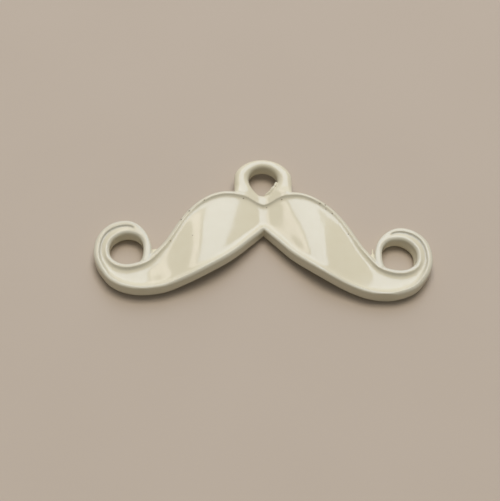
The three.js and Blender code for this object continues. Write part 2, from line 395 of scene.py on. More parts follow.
@dataclass
class WingPlan:
    """The right wing and its curl, drawn by rows of sections from the middle to the curl's tip."""

    rows: tuple[WingRow, ...] = WING_ROWS
    samples_per_row: int = 24
    wing_last_row: int = 9
    curl_first_row: int = 7
    seam: float = 7.5
    tip_spread: float = 0.45
    groove_end: float = 11.5
    groove_end_reach: float = 0.14
    low_round: float = 0.42
    keen_round: float = 0.2
    keen_right_fades: Span = (13.5, 16.0)
    keen_left_rises: Span = (9.5, 12.0)
    keen_left_fades: Span = (18.0, 19.5)
    tip_round: float = 0.32
    tip_depth: Span = (0.0, 0.2)
    edge_blend: float = 0.3
    foot_round: float = 0.65
    # Where the groove's painted shade, with a little dirt, and the crest's painted sheen lie.
    groove_at: float = 0.14
    groove_reach: float = 0.18
    shade_and_soil_depth: Span = (0.04, 0.4)
    crest_at: float = 0.2
    crest_reach: float = 0.16

    def __post_init__(self) -> None:
        """Draws the edges of the wing and of the curl."""
        last = len(self.rows) - 1
        self.strips = [
            ([self.edge_line(edge, first, end) for edge in Edge], low_place, high_place)
            for first, end, low_place, high_place in (
                (0, self.wing_last_row, -1.0, self.seam),
                (self.curl_first_row, last, self.seam, last + 1.0),
            )
        ]

    def edge_line(self, edge: Edge, first: int, last: int) -> EdgeLine:
        """Draws one edge between two rows.

        Args:
            edge: Which edge.
            first: The row it starts at.
            last: The row it ends at.

        Returns:
            The drawn line.
        """
        steps = self.samples_per_row
        points = [EdgePoint(*getattr(row, edge.name.lower())) for row in self.rows]
        curves = [bezier(self._handles(*ends), steps)[:-1] for ends in zip(points, points[1:])]
        drawn = np.concatenate([*curves, [(points[-1].x, points[-1].y)]])
        part = slice(first * steps, last * steps + 1)
        return EdgeLine(drawn[part], self._even_places(drawn)[part], edge.value)

    def _even_places(self, points: np.ndarray) -> np.ndarray:
        """Row places along a drawn edge, with no jump in their rate at the rows.

        Args:
            points: The edge's points, evenly many for each row.

        Returns:
            The place of each point.
        """
        gone = np.concatenate([[0], np.cumsum(np.linalg.norm(np.diff(points, axis=0), axis=1))])
        knots = gone[:: self.samples_per_row]
        spans = np.diff(knots)
        rates = np.concatenate([1 / spans[:1], 2 / (spans[1:] + spans[:-1]), 1 / spans[-1:]])
        row = np.clip(np.searchsorted(knots, gone, "right") - 1, 0, len(spans) - 1)
        t = (gone - knots[row]) / spans[row]
        leave, arrive = rates[row] * spans[row], rates[row + 1] * spans[row]
        return row + t**2 * (3 - 2 * t) + leave * t * (1 - t) ** 2 - arrive * t**2 * (1 - t)

    @staticmethod
    def _handles(start: EdgePoint, end: EdgePoint) -> list[Span]:
        """Corners of the smooth curve that leaves and arrives along the headings.

        Args:
            start: The curve's first point.
            end: The curve's last point.

        Returns:
            The four corners of a cubic curve.
        """
        turn = abs(math.radians(end.heading - start.heading))
        chord = math.hypot(end.x - start.x, end.y - start.y)
        reach = chord / 3
        if turn > LEAST_TURN:
            reach = chord * 2 * math.tan(turn / 4) / (3 * math.sin(turn / 2))
        leave, arrive = math.radians(start.heading), math.radians(end.heading)
        return [
            (start.x, start.y),
            (start.x + reach * math.cos(leave), start.y + reach * math.sin(leave)),
            (end.x - reach * math.cos(arrive), end.y - reach * math.sin(arrive)),
            (end.x, end.y),
        ]

    def column(self, name: str, places: np.ndarray) -> np.ndarray:
        """One column of the rows between the rows, without kinks.

        Args:
            name: The column's name.
            places: Row places, whole numbers at the rows.

        Returns:
            The column's value at each place.
        """
        values = np.array([getattr(row, name) for row in self.rows], float)
        padded = np.concatenate([2 * values[:1] - values[1:2], values, values[-1:]])
        row = np.clip(places.astype(int), 0, len(values) - 2)
        t = np.clip(places - row, 0, 1)
        before, start, end, after = (padded[row + i] for i in range(4))
        leave, arrive = (end - before) / 2, (after - start) / 2
        cubic = 2 * start - 2 * end + leave + arrive
        square = 3 * end - 3 * start - 2 * leave - arrive
        return np.maximum(((cubic * t + square) * t + leave) * t + start, 0)

    def keenness(self, across: np.ndarray) -> np.ndarray:
        """How keen the low edge is, which differs between the halves.

        Args:
            across: Places across the charm.

        Returns:
            0 where the edge is soft and 1 where it is keen.
        """
        right = 1 - smooth_step(across, *self.keen_right_fades)
        left = between(-across, self.keen_left_rises, self.keen_left_fades)
        return np.where(across > 0, right, left)

    def survey(self, spots: np.ndarray, keen: np.ndarray, thickness: float) -> list[PlanReading]:
        """Reads the wing and the curl at spots of the right half.

        Args:
            spots: Places on the plan, one row each.
            keen: How keen the low edge is at each spot.
            thickness: Thickness of the casting at its rims.

        Returns:
            One reading for the wing and one for the curl with its tip.
        """
        low_round = blend(self.low_round, self.keen_round, keen)
        readings = []
        for (low_line, top_line), first, last in self.strips:
            low, top = low_line.measure(spots), top_line.measure(spots)
            share = np.clip(low.reach / np.maximum(low.reach + top.reach, LEAST_WIDTH), 0, 1)
            place = low.place * (1 - share) + top.place * share
            inside = np.minimum(low.distance, top.distance)
            inside = np.minimum(inside, np.minimum(-low.past, -top.past))
            inside = np.where((place >= first) & (place < last), inside, OUTSIDE)
            readings.append(self._relief(low, top, place, inside, low_round, thickness))
        return readings

    @staticmethod
    def _wall(distance: np.ndarray, fall: np.ndarray, crisp: np.ndarray) -> np.ndarray:
        """How far the field has sunk at a distance in from a crest, as a share of its depth."""
        return 1 - np.exp(-((np.maximum(distance, 0) / fall) ** crisp))

    def _relief(
        self,
        low: EdgeReading,
        top: EdgeReading,
        place: np.ndarray,
        inside: np.ndarray,
        low_round: np.ndarray,
        thickness: float,
    ) -> PlanReading:
        """The rims, walls and swelling field of one strip.

        Args:
            low: Readings from the low edge.
            top: Readings from the top edge.
            place: Row place of each spot.
            inside: Distance in from the strip's outline.
            low_round: Rounding of the low edge.
            thickness: Thickness of the casting at its rims.

        Returns:
            The strip's reading.
        """
        widest = self.tip_spread * np.maximum(low.distance + top.distance, LEAST_WIDTH)
        rim = np.minimum(self.column("rim", low.place), widest)
        lip = np.minimum(self.column("lip", top.place), widest)
        from_rim, from_lip = low.distance - rim, top.distance - lip
        inner, outer = low.reach - rim, top.reach - lip
        share = np.clip(inner / np.maximum(inner + outer, LEAST_WIDTH), 0, 1)
        recess, lip_recess = self.column("recess", place), self.column("lip_recess", place)
        end, end_reach = self.groove_end, self.groove_end_reach
        depth = recess * (1 - share) + lip_recess * share
        depth *= 1 - smooth_step(place, end - end_reach, end + end_reach)
        field_depth = depth - self.column("crown", place) * 4 * share * (1 - share)
        wall = self._wall(from_rim, self.column("fall", low.place), self.column("crisp", low.place))
        lip_fall, lip_crisp = (self.column(name, top.place) for name in ("lip_fall", "lip_crisp"))
        wall *= self._wall(from_lip, lip_fall, lip_crisp)
        # Painted shade, with a little dirt, in the groove at the foot of the lip's and the rim's
        # walls.
        groove = bell(from_lip, self.groove_at, self.groove_reach) * self.column("lip_shade_and_soil", place)
        groove += bell(from_rim, self.groove_at, self.groove_reach) * self.column("shade_and_soil", place)
        near_top = smooth_step(low.distance - top.distance, -self.edge_blend, self.edge_blend)
        edge_round = blend(low_round, self.column("lip_round", top.place), near_top)
        before_tip = smooth_step(recess + lip_recess, *self.tip_depth)
        return PlanReading(
            inside,
            thickness - field_depth * wall,
            np.minimum(blend(self.tip_round, edge_round, before_tip), widest),
            np.full(len(inside), self.foot_round),
            bell(inside, self.crest_at, self.crest_reach),
            np.clip(groove, 0, 1) * smooth_step(depth, *self.shade_and_soil_depth),
        )


@dataclass
class Wave:
    """How far the charm's back stands off the floor: humped wings and a valley in the middle.

    The humps lean a little to one side, the right one is sheared and dips past its crest, and the
    left one is turned at its low corner and eased up where it runs out into the curl.
    """

    hump: float = 0.72
    hump_at: float = 5.7
    inner_bend: float = 0.052
    valley_half_width: float = 0.9
    flat_from: float = 13.6
    lean: float = 0.27
    lean_from: float = 2.0
    shear: float = 0.4
    shear_level: float = 5.6
    shear_fades: Span = (3.0, 10.0)
    toe: float = 0.14
    toe_below: float = 3.0
    toe_fades: Span = (4.5, 7.5)
    dip: float = 0.16
    dip_at: float = 7.9
    dip_reach: float = 2.6
    dip_fades: Span = (11.0, 13.6)
    ease: float = 0.09
    ease_rises: Span = (10.7, 13.0)
    ease_fades: Span = (13.8, 19.5)
    eye_lift: float = 0.35
    eye_from: float = 8.2
    eye_to: float = 9.6

    def lift(self, spots: np.ndarray) -> np.ndarray:
        """Height of the back above the floor.

        Args:
            spots: Places on the plan, one row each.

        Returns:
            The height at each spot.
        """
        across, along = spots[:, 0], spots[:, 1]
        away = 1 - bell(across, 0, self.lean_from)
        slant = np.where(across > 0, self.shear, 0) * (1 - smooth_step(across, *self.shear_fades))
        toe = np.where(across < 0, self.toe, 0) * (1 - smooth_step(-across, *self.toe_fades))
        toe *= np.maximum(self.toe_below - along, 0)
        out = np.abs(across + away * (self.lean + slant * (along - self.shear_level) + toe))
        fall = self.flat_from - self.hump_at
        outer = self.hump / 2 * (1 + np.cos(math.pi * np.clip((out - self.hump_at) / fall, 0, 1)))
        back = self.hump_at - np.maximum(out, self.valley_half_width)
        inner = self.hump - self.inner_bend * back**2 / 2
        bottom = np.maximum(self.valley_half_width**2 - out**2, 0) / (2 * self.valley_half_width)
        inner -= self.inner_bend * back * bottom
        dip = bell(across, self.dip_at, self.dip_reach) * (1 - smooth_step(across, *self.dip_fades))
        wave = np.maximum(np.where(out >= self.hump_at, outer, inner) - self.dip * dip, 0)
        wave += self.ease * between(-across, self.ease_rises, self.ease_fades)
        return blend(wave, self.eye_lift, smooth_step(along, self.eye_from, self.eye_to))


@dataclass(frozen=True)
class Bead:
    """A small blob of flash left on the casting: its middle on the plan, height and radius."""

    x: float
    y: float
    z: float
    radius: float

    @property
    def middle(self) -> Triple:
        """The blob's middle."""
        return self.x, self.y, self.z


# The ragged edge low in the eye's hole, the spike in the right notch and the web in the left one.
FLASH = (
    Bead(0.33, 8.42, 1.56, 0.16),
    Bead(0.46, 8.5, 1.6, 0.2),
    Bead(0.6, 8.6, 1.54, 0.17),
    Bead(0.72, 8.68, 1.6, 0.22),
    Bead(0.86, 8.82, 1.56, 0.16),
    Bead(0.97, 8.95, 1.6, 0.22),
    Bead(1.06, 9.08, 1.54, 0.17),
    Bead(1.14, 9.22, 1.6, 0.24),
    Bead(1.24, 9.4, 1.56, 0.16),
    Bead(1.36, 9.55, 1.54, 0.14),
    Bead(1.46, 9.7, 1.6, 0.2),
    Bead(1.53, 9.84, 1.56, 0.17),
    Bead(1.57, 10.0, 1.58, 0.2),
    Bead(1.61, 10.14, 1.54, 0.14),
    Bead(13.12, -0.42, 1.3, 0.38),
    Bead(13.0, -0.12, 1.25, 0.34),
    Bead(13.16, 0.1, 1.15, 0.22),
    Bead(12.86, 0.08, 1.2, 0.24),
    Bead(13.04, 0.32, 1.2, 0.18),
    Bead(13.06, 0.57, 1.2, 0.15),
    Bead(13.08, 0.8, 1.2, 0.13),
    Bead(13.09, 1.02, 1.2, 0.12),
    Bead(-13.1, -0.46, 1.25, 0.36),
    Bead(-12.95, -0.2, 1.2, 0.34),
    Bead(-12.74, 0.0, 1.2, 0.26),
    Bead(-13.05, 0.06, 1.1, 0.22),
)


def untangle(solid: np.ndarray) -> None:
    """Fills a corner of each grid face whose corners lie in and out by turns.

    Such a face would leave an edge in the skin that four quads share.

    Args:
        solid: The field, above zero inside, changed in place.
    """
    sides = np.eye(3, dtype=int)
    for one, two in ((0, 1), (0, 2), (1, 2)) * UNTANGLE_ROUNDS:
        corners = (0 * sides[one], sides[one], sides[two], sides[one] + sides[two])
        reach = np.array(solid.shape) - sides[one] - sides[two]
        near, along, over, far = (
            solid[tuple(slice(move, move + size) for move, size in zip(corner, reach))] > 0
            for corner in corners
        )
        for spot in np.argwhere((near == far) & (along == over) & (near != along)):
            around = [tuple(spot + corner) for corner in corners]
            outer = [corner for corner in around if solid[corner] <= 0]
            if len(outer) == 2:
                solid[max(outer, key=lambda corner: solid[corner])] = TOUCH


def skin(solid: np.ndarray, start: Triple, step: float) -> tuple[np.ndarray, np.ndarray]:
    """Skins the zero level of a gridded field with quads, one point in each crossed cell.

    Args:
        solid: The field, above zero inside.
        start: Place of the grid's first corner.
        step: Size of a cell.

    Returns:
        The points and the quads of a closed skin whose faces point outwards.
    """
    cells = tuple(n - 1 for n in solid.shape)
    total = np.zeros(cells + (3,))
    hits = np.zeros(cells)
    crossings = []
    for axis in range(3):
        first = np.take(solid, range(solid.shape[axis] - 1), axis)
        second = np.take(solid, range(1, solid.shape[axis]), axis)
        crossed = (first > 0) != (second > 0)
        crossings.append((crossed, first > 0))
        spot = np.moveaxis(np.indices(crossed.shape, dtype=float), 0, -1)
        spot[..., axis] += np.where(crossed, first / np.where(crossed, first - second, 1), 0)
        spot *= crossed[..., None]
        others = [other for other in range(3) if other != axis]
        for shift in ((0, 0), (0, 1), (1, 0), (1, 1)):
            window = [slice(None)] * 3
            for other, move in zip(others, shift):
                window[other] = slice(move, cells[other] + move)
            total += spot[tuple(window)]
            hits += crossed[tuple(window)]
    used = hits > 0
    number = np.full(cells, -1)
    number[used] = np.arange(used.sum())
    points = total[used] / hits[used][:, None] * step + np.array(start)
    quads = []
    for axis, (crossed, leaving) in enumerate(crossings):
        spots = np.argwhere(crossed)
        turned = leaving[tuple(spots.T)]
        second, third = (axis + 1) % 3, (axis + 2) % 3
        ring = []
        for move in ((-1, -1), (0, -1), (0, 0), (-1, 0)):
            cell = spots.copy()
            cell[:, second] += move[0]
            cell[:, third] += move[1]
            ring.append(number[tuple(cell.T)])
        ring = np.stack(ring, axis=1)
        quads.append(np.where(turned[:, None], ring, ring[:, ::-1]))
    return points, np.concatenate(quads)


def link_mesh(name: str, mesh: bpy.types.Mesh) -> bpy.types.Object:
    """Puts a mesh into the scene, smooth-shaded and at the origin.

    Args:
        name: The object's name.
        mesh: Its mesh.

    Returns:
        The new object.
    """
    mesh.polygons.foreach_set("use_smooth", [True] * len(mesh.polygons))
    piece = bpy.data.objects.new(name, mesh)
    bpy.context.scene.collection.objects.link(piece)
    return piece


def make_object(name: str, points: np.ndarray, faces: np.ndarray) -> bpy.types.Object:
    """Makes a mesh object from points and faces.

    Args:
        name: The object's name.
        points: Its points in metres, one row each.
        faces: Its faces, one row of point numbers each.

    Returns:
        The new object, in the scene.
    """
    mesh = bpy.data.meshes.new(name)
    mesh.from_pydata(points.tolist(), [], faces.tolist())
    mesh.update()
    return link_mesh(name, mesh)


def add_mask(piece: bpy.types.Object, name: str, values: np.ndarray) -> None:
    """Stores a value at each point of a piece, for its nodes."""
    mask = piece.data.attributes.new(name, "FLOAT", "POINT")
    mask.data.foreach_set("value", values.astype(np.float32))


@dataclass
class MoustacheCasting:
    """The whole casting: two wings with curled ends and a hanging eye, skinned as one closed mesh.

    The right wing sags a little in the plan, and the hole of the right curl is shifted, with a wall
    that leans on its far side.
    """

    plan: WingPlan = field(default_factory=WingPlan)
    eye: HangingEye = field(default_factory=HangingEye)
    wave: Wave = field(default_factory=Wave)
    thickness: float = 1.9
    half_length: float = 20.0
    plan_top: float = 14.05
    low_end: float = -5.8
    grid_step: float = 0.107
    grid_margin: int = 3
    levels_below: float = 1.4
    levels_above: float = 2.0
    tip_fillet: float = 0.35
    eye_fillet: float = 0.35
    eye_blend: float = 0.2
    flash_fillet: float = 0.12
    sag: float = 0.14
    sag_rises: Span = (3.5, 8.0)
    sag_fades: Span = (13.0, 17.0)
    curl_shift: float = -0.28
    curl_middle: Span = (16.1, 0.05)
    curl_shift_fades: Span = (2.4, 4.0)
    curl_far: float = 0.8
    curl_far_from: Span = (-0.8, 0.8)
    curl_draft: Span = (0.5, 1.5)
    mask_level: Span = (-0.7, -0.3)
    probe: float = 0.01
    least_slope: float = 0.25
    settle_rounds: int = 2

    def __post_init__(self) -> None:
        """Finds where the frame's middle lies on the plan."""
        self.plan_shift = self.plan_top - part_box(CASTING_NODE)[1].y / MM

    def survey(self, spots: np.ndarray) -> PlanReading:
        """Reads the whole casting at spots anywhere on the plan.

        Args:
            spots: Places on the plan, one row each.

        Returns:
            The joined reading of the wing, the curl and the eye.
        """
        right = np.stack([np.abs(spots[:, 0]), spots[:, 1]], axis=1)
        wing, curl = self.plan.survey(right, self.plan.keenness(spots[:, 0]), self.thickness)
        loop, loop_round = self.eye.survey(right)
        metal = smooth_max(wing.inside, curl.inside, self.tip_fillet)
        in_wing, in_curl = wing.inside > 0, curl.inside > 0
        only_curl = in_curl & ~in_wing
        highest = np.maximum(wing.height, curl.height)
        height = np.where(in_wing, np.where(in_curl, highest, wing.height), self.thickness)
        pick = curl.inside > wing.inside
        edge_round, foot_round, crest, groove = (
            np.where(pick, getattr(curl, name), getattr(wing, name))
            for name in ("edge_round", "foot_round", "crest", "groove")
        )
        in_eye = smooth_step(loop - metal, -self.eye_blend, self.eye_blend)
        return PlanReading(
            smooth_max(metal, loop, self.eye_fillet),
            np.where(only_curl, curl.height, height),
            blend(edge_round, loop_round, in_eye),
            blend(foot_round, self.eye.foot_round, in_eye),
            crest * (1 - in_eye),
            groove * in_wing + curl.groove * only_curl,
        )

    def solid_field(self, reading: PlanReading, z: np.ndarray) -> np.ndarray:
        """Distance into the metal at given heights above the casting's back, without flash.

        Args:
            reading: The plan's reading, shaped to match z.
            z: Heights.

        Returns:
            The field, above zero in the metal.
        """
        top = reading.edge_round
        above = np.maximum(z - self.thickness + top, 0)
        over = np.hypot(np.maximum(top - reading.inside, 0), above)
        foot = reading.foot_round
        under = np.hypot(np.maximum(foot - reading.inside, 0), np.maximum(foot - z, 0))
        return np.minimum(np.minimum(top - over, foot - under), reading.height - z)

    def field_at(self, points: np.ndarray, reading: PlanReading) -> np.ndarray:
        """The whole field at points of the flat casting, with its flash.

        Args:
            points: Points, one row each.
            reading: The plan's reading under the points.

        Returns:
            The field at each point.
        """
        solid = self.solid_field(reading, points[:, 2])
        for bead in FLASH:
            gap = np.linalg.norm(points - bead.middle, axis=1)
            solid = smooth_max(solid, bead.radius - gap, self.flash_fillet)
        return solid

    def settle(self, points: np.ndarray) -> np.ndarray:
        """Moves points near the surface onto it.

        Args:
            points: Points of the flat casting, one row each.

        Returns:
            The moved points.
        """
        for _ in range(self.settle_rounds):
            here = self.survey(points[:, :2])
            level = self.field_at(points, here)
            slope = np.zeros_like(points)
            for axis in range(3):
                moved = points.copy()
                moved[:, axis] += self.probe
                there = here if axis == 2 else self.survey(moved[:, :2])
                slope[:, axis] = (self.field_at(moved, there) - level) / self.probe
            steep = np.maximum((slope**2).sum(axis=1), self.least_slope)
            step = slope * (level / steep)[:, None]
            points = points - np.clip(step, -self.grid_step / 2, self.grid_step / 2)
        return points

    def build(self) -> bpy.types.Object:
        """Skins the casting and places it in the frame.

        Returns:
            The casting's object.
        """
        points, quads = self._skin_flat()
        points = self.settle(points)
        reading = self.survey(points[:, :2])
        top_side = smooth_step(points[:, 2] - self.thickness, *self.mask_level)
        move = self.drift(points[:, :2], points[:, 2])
        points[:, 2] += self.wave.lift(points[:, :2])
        points[:, :2] += move
        low, high = (np.array(corner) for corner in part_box(CASTING_NODE))
        piece = make_object("painted_casting", np.clip(points * MM, low, high), quads)
        # Masks for the paint on the top side: painted sheen on the crest, painted shade with a
        # little dirt in the groove.
        add_mask(piece, "crest", reading.crest * top_side)
        add_mask(piece, "groove", reading.groove * top_side)
        return piece

    def _skin_flat(self) -> tuple[np.ndarray, np.ndarray]:
        """Skins the flat casting on an even grid, its left half mirrored from the right.

        Returns:
            The points and the quads.
        """
        step, margin = self.grid_step, self.grid_margin * self.grid_step
        count = int(self.half_length / step) + self.grid_margin
        half = (np.arange(count) + 0.5) * step
        across = np.concatenate([-half[::-1], half])
        rows = np.arange(self.low_end - margin, self.eye.top + margin, step)
        top = self.thickness + self.levels_above * step
        levels = np.arange(-self.levels_below * step, top, step)
        spots = np.stack(np.meshgrid(half, rows, indexing="ij"), axis=-1)
        reading = self.survey(spots.reshape(-1, 2)).shaped(count, len(rows), 1)
        right = self.solid_field(reading, levels[None, None, :])
        solid = np.concatenate([right[::-1], right])
        for bead in FLASH:
            self._stamp(solid, (across, rows, levels), bead)
        untangle(solid)
        return skin(solid, (across[0], rows[0], levels[0]), step)

    def _stamp(self, solid: np.ndarray, axes: tuple[np.ndarray, ...], bead: Bead) -> None:
        """Joins one blob of flash to the gridded field, near the blob only.

        Args:
            solid: The gridded field, changed in place.
            axes: The grid's three axes.
            bead: The blob.
        """
        reach = bead.radius + self.grid_margin * self.grid_step
        block = tuple(
            slice(*np.searchsorted(axis, (middle - reach, middle + reach)))
            for axis, middle in zip(axes, bead.middle)
        )
        grids = np.meshgrid(*(axis[span] for axis, span in zip(axes, block)), indexing="ij")
        gap = np.sqrt(sum((grid - middle) ** 2 for grid, middle in zip(grids, bead.middle)))
        solid[block] = smooth_max(solid[block], bead.radius - gap, self.flash_fillet)

    def drift(self, spots: np.ndarray, heights: np.ndarray) -> np.ndarray:
        """How spots of the plan move into the frame.

        Args:
            spots: Places on the plan, one row each.
            heights: Their heights above the back.

        Returns:
            The move of each spot.
        """
        across = spots[:, 0]
        sag = self.sag * between(across, self.sag_rises, self.sag_fades)
        from_middle = np.linalg.norm(spots - self.curl_middle, axis=1)
        far = smooth_step(across - self.curl_middle[0], *self.curl_far_from)
        far *= smooth_step(heights, *self.curl_draft)
        shift = self.curl_shift * (1 - smooth_step(from_middle, *self.curl_shift_fades))
        shift *= 1 - self.curl_far * far
        return np.stack([shift, -self.plan_shift - sag], axis=1)

    def top_at(self, x: float, y: float) -> Vector:
        """A spot on the painted face, in the frame.

        Args:
            x: The spot's x on the plan.
            y: The spot's y on the plan.

        Returns:
            The point on the surface, in metres.
        """
        spot = np.array([[x, y]])
        reading = self.survey(spot)
        z = float(reading.height[0] + self.wave.lift(spot)[0])
        move_x, move_y = self.drift(spot, reading.height)[0]
        return Vector((x + move_x, y + move_y, z)) * MM

    def dress(self, piece: bpy.types.Object, paint: bpy.types.Material) -> None:
        """Paints the casting and ties it to the frame.

        Args:
            piece: The casting's object.
            paint: Its paint.
        """
        piece.data.materials.append(paint)
        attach(piece, BODY)
        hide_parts(CASTING_NODE)


@dataclass(frozen=True)
class Speck:
    """A dark speck for a pit in the paint, dark with painted shade: its place on the plan and its
    size.
    """

    side: Side
    x: float
    y: float
    size: float


SPECKS = (
    Speck(Side.LEFT, 11.1, 1.05, 0.1),
    Speck(Side.LEFT, 9.9, 4.0, 0.09),
    Speck(Side.LEFT, 8.95, 5.2, 0.11),
    Speck(Side.LEFT, 7.2, 6.75, 0.09),
    Speck(Side.LEFT, 2.45, 7.5, 0.1),
    Speck(Side.LEFT, 8.5, 1.65, 0.08),
    Speck(Side.RIGHT, 0.37, 6.5, 0.09),
    Speck(Side.RIGHT, 2.2, 7.4, 0.1),
    Speck(Side.RIGHT, 6.8, 6.95, 0.11),
    Speck(Side.RIGHT, 7.45, 6.75, 0.1),
    Speck(Side.RIGHT, 7.5, 6.2, 0.08),
    Speck(Side.RIGHT, 8.25, 5.6, 0.11),
    Speck(Side.RIGHT, 10.05, 2.75, 0.09),
)


def add_sockets(tree: bpy.types.NodeTree, in_out: str, **kinds: str) -> None:
    """Gives a node tree inputs or outputs.

    Args:
        tree: The node tree.
        in_out: Which of the two, as Blender names them.
        kinds: Their types by name, with spaces as underscores.
    """
    for name, kind in kinds.items():
        tree.interface.new_socket(
            name.replace("_", " "), in_out=in_out, socket_type=f"NodeSocket{kind}"
        )


def socket_id(tree: bpy.types.NodeTree, name: str) -> str:
    """The identifier that a modifier uses for a tree's input."""
    inputs = (item for item in tree.interface.items_tree if item.in_out == "INPUT")
    return next(item.identifier for item in inputs if item.name == name)


@dataclass
class PaintSpecks:
    """The dark specks for the pits in the paint, one small crumb on each drawn spot; their dark
    finish is painted shade.
    """

    specks: tuple[Speck, ...] = SPECKS
    flatness: float = 0.4
    narrowness: float = 0.75
    seed: int = 7
    crumb_detail: int = 2

    def tree(self) -> bpy.types.NodeTree:
        """Builds the node tree that puts a crumb on each point.

        Returns:
            The tree, with inputs for the crumbs' flatness, seed and finish.
        """
        tree = bpy.data.node_groups.new("paint_specks", "GeometryNodeTree")
        add_sockets(tree, "INPUT", Geometry="Geometry", Flatness="Float", Seed="Int")
        add_sockets(tree, "INPUT", Finish="Material")
        add_sockets(tree, "OUTPUT", Geometry="Geometry")
        nodes = tree.nodes
        given = nodes.new("NodeGroupInput")
        crumb = nodes.new("GeometryNodeMeshIcoSphere")
        crumb.inputs["Radius"].default_value = MM
        crumb.inputs["Subdivisions"].default_value = self.crumb_detail
        size = nodes.new("GeometryNodeInputNamedAttribute")
        size.inputs["Name"].default_value = "size"
        spin = nodes.new("FunctionNodeRandomValue")
        spin.data_type = "FLOAT"
        spin.inputs[RANDOM_MAX].default_value = math.tau
        turn = nodes.new("ShaderNodeCombineXYZ")
        squash = nodes.new("ShaderNodeCombineXYZ")
        squash.inputs["X"].default_value = 1.0
        squash.inputs["Y"].default_value = self.narrowness
        scale = nodes.new("ShaderNodeVectorMath")
        scale.operation = "SCALE"
        place = nodes.new("GeometryNodeInstanceOnPoints")
        real = nodes.new("GeometryNodeRealizeInstances")
        finish = nodes.new("GeometryNodeSetMaterial")
        made = nodes.new("NodeGroupOutput")
        for source, leaving, target, entering in (
            (given, "Seed", spin, "Seed"),
            (spin, RANDOM_NUMBER, turn, "Z"),
            (given, "Flatness", squash, "Z"),
            (squash, 0, scale, 0),
            (size, 0, scale, "Scale"),
            (given, "Geometry", place, "Points"),
            (crumb, "Mesh", place, "Instance"),
            (turn, 0, place, "Rotation"),
            (scale, 0, place, "Scale"),
            (place, "Instances", real, "Geometry"),
            (real, "Geometry", finish, "Geometry"),
            (given, "Finish", finish, "Material"),
            (finish, "Geometry", made, "Geometry"),
        ):
            tree.links.new(source.outputs[leaving], target.inputs[entering])
        return tree

    def build(self, casting: MoustacheCasting, pit_shade_finish: bpy.types.Material) -> bpy.types.Object:
        """Sets the crumbs into the painted face.

        Args:
            casting: The casting that carries them.
            pit_shade_finish: Their finish, dark with the painted shade of the pits.

        Returns:
            The crumbs as one plain mesh object.
        """
        places = [casting.top_at(speck.side.value * speck.x, speck.y) for speck in self.specks]
        no_faces = np.zeros((0, 3), int)
        spots = make_object("speck_spots", np.array([tuple(place) for place in places]), no_faces)
        add_mask(spots, "size", np.array([speck.size for speck in self.specks]))
        tree = self.tree()
        modifier = spots.modifiers.new("specks", "NODES")
        modifier.node_group = tree
        for name, value in (("Flatness", self.flatness), ("Seed", self.seed), ("Finish", pit_shade_finish)):
            modifier[socket_id(tree, name)] = value
        seen = spots.evaluated_get(bpy.context.evaluated_depsgraph_get())
        mesh = bpy.data.meshes.new_from_object(seen)
        mesh.name = "groove_specks"
        bpy.data.objects.remove(spots)
        piece = link_mesh("groove_specks", mesh)
        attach(piece, BODY)
        return piece


class ShaderSheet:
    """A material's node tree, with short ways to add nodes and join them."""

    def __init__(self, name: str) -> None:
        """Starts a material that holds its shader, its output and Object coordinates.

        Args:
            name: The material's name.
        """
        self.material = bpy.data.materials.new(name)
        self.material.use_nodes = True
        self.tree = self.material.node_tree
        self.tree.nodes.clear()
        self.shader = self.node("ShaderNodeBsdfPrincipled")
        out = self.node("ShaderNodeOutputMaterial")
        self.join(self.shader.outputs[0], out.inputs["Surface"])
        self.place = self.node("ShaderNodeTexCoord").outputs["Object"]

    def node(self, kind: str, **settings: object) -> bpy.types.Node:
        """Adds a node.

        Args:
            kind: The node's type.
            settings: Its settings by name.

        Returns:
            The node.
        """
        made = self.tree.nodes.new(kind)
        for name, value in settings.items():
            setattr(made, name, value)
        return made

    def join(self, source: bpy.types.NodeSocket, target: bpy.types.NodeSocket) -> None:
        """Links an output to an input."""
        self.tree.links.new(source, target)

    def group(self, tree: bpy.types.NodeTree, **values: float) -> bpy.types.Node:
        """Places a shared node group on Object coordinates.

        Args:
            tree: The group.
            values: Its inputs by name, with spaces as underscores.

        Returns:
            The group's node.
        """
        made = self.node("ShaderNodeGroup", node_tree=tree)
        self.join(self.place, made.inputs["Vector"])
        for name, value in values.items():
            made.inputs[name.replace("_", " ").title()].default_value = value
        return made

    def mask(self, name: str) -> bpy.types.NodeSocket:
        """A mask stored on the piece, as a value."""
        return self.node("ShaderNodeAttribute", attribute_name=name).outputs["Fac"]

    def math(self, operation: str, *values: object) -> bpy.types.NodeSocket:
        """Works on numbers or sockets.

        Args:
            operation: The math node's operation.
            values: A number or a socket for each of its inputs.

        Returns:
            The result's socket.
        """
        made = self.node("ShaderNodeMath", operation=operation)
        for slot, value in zip(made.inputs, values):
            if isinstance(value, float):
                slot.default_value = value
            else:
                self.join(value, slot)
        return made.outputs[0]

    def tint(self, share: bpy.types.NodeSocket, *colours: object) -> bpy.types.NodeSocket:
        """Mixes two colours.

        Args:
            share: How much of the second colour shows.
            colours: The two, each a colour or a socket.

        Returns:
            The mixed colour's socket.
        """
        made = self.node("ShaderNodeMix", data_type="RGBA")
        self.join(share, made.inputs["Factor"])
        for place, colour in zip(MIX_COLOURS, colours):
            if isinstance(colour, tuple):
                made.inputs[place].default_value = (*colour, 1.0)
            else:
                self.join(colour, made.inputs[place])
        return made.outputs[MIX_RESULT]

    def bump(self, height: bpy.types.NodeSocket, distance: float) -> None:
        """Joins a height to the shader's normal.

        Args:
            height: The height's socket.
            distance: How far the surface moves for a height of one, in metres.
        """
        made = self.node("ShaderNodeBump")
        made.inputs["Distance"].default_value = distance
        self.join(height, made.inputs["Height"])
        self.join(made.outputs["Normal"], self.shader.inputs["Normal"])


